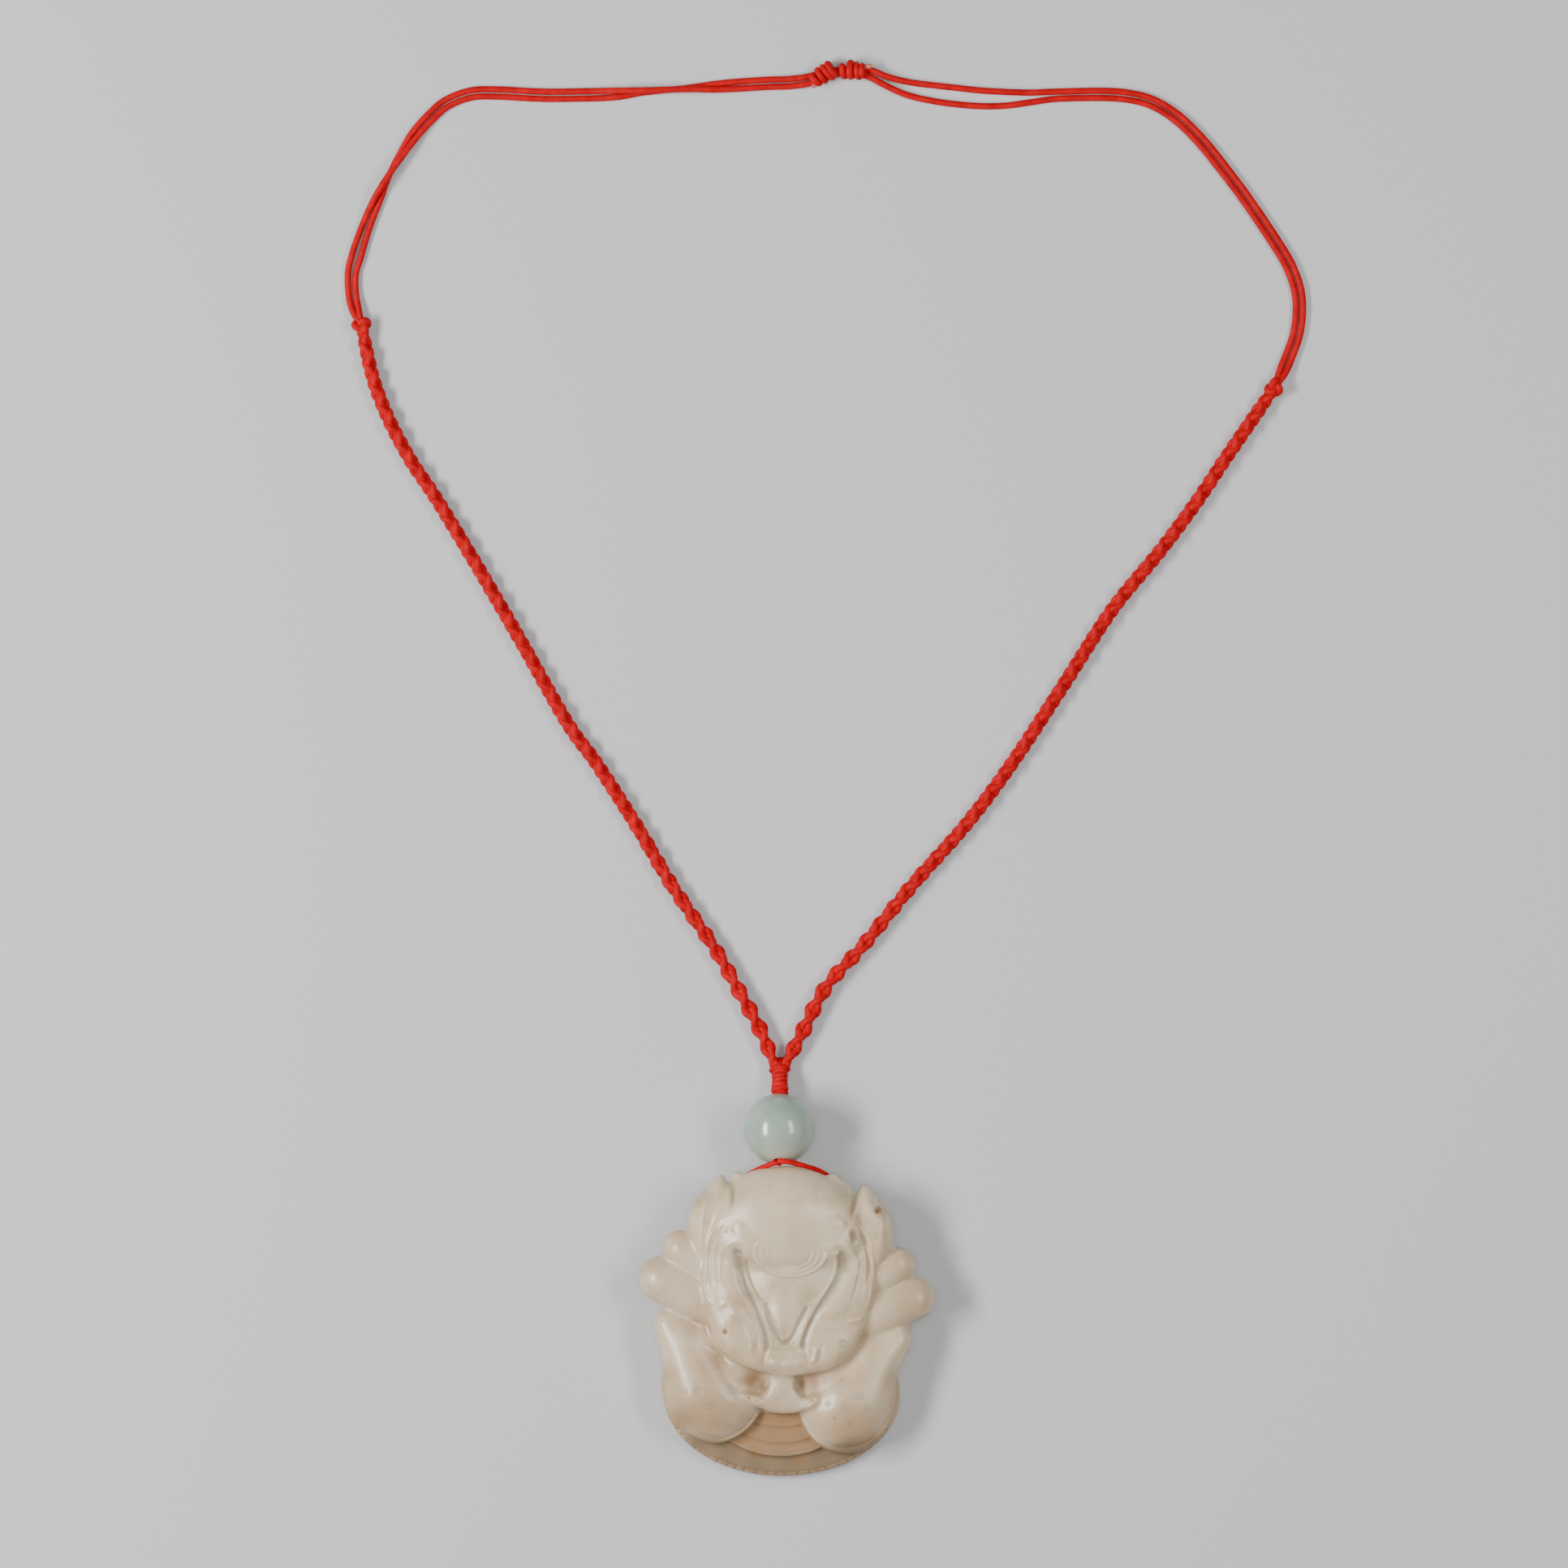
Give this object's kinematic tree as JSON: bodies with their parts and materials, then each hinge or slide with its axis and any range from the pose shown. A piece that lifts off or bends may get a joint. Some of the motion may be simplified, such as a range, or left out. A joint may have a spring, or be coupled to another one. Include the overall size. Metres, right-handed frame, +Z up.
{
  "type": "carved jade pendant necklace",
  "caption": "Flat-backed white jade crab carving under a round pale green jade bead, on an adjustable necklace of braided and plain red cord with sliding knots, laid flat.",
  "frame": {"origin": "centre of the carving's ground flat back, on the surface that the necklace lies on", "axes": "+Z up off the surface, out of the carving's face; +Y from the carving to the sliding knots at the nape; +X to the right seen from the front"},
  "size_m": [0.2171, 0.3197, 0.0199],
  "materials": {
    "white_jade": "polished, waxy",
    "green_jade": "polished, glossy",
    "red_cord": "twisted synthetic cord, satin"
  },
  "bodies": {
    "root": {"jade_carving": "white_jade", "jade_bead": "green_jade", "hanging_loop": "red_cord", "binding_turns": "red_cord", "left_braid_strand_1": "red_cord", "left_braid_strand_2": "red_cord", "left_braid_strand_3": "red_cord", "left_braid_strand_4": "red_cord", "right_braid_strand_1": "red_cord", "right_braid_strand_2": "red_cord", "right_braid_strand_3": "red_cord", "right_braid_strand_4": "red_cord", "left_end_knot": "red_cord", "right_end_knot": "red_cord", "left_cord_outer": "red_cord", "left_cord_inner": "red_cord", "right_cord_outer": "red_cord", "right_cord_inner": "red_cord", "left_sliding_knot": "red_cord", "right_sliding_knot": "red_cord"}
  },
  "joints": []
}
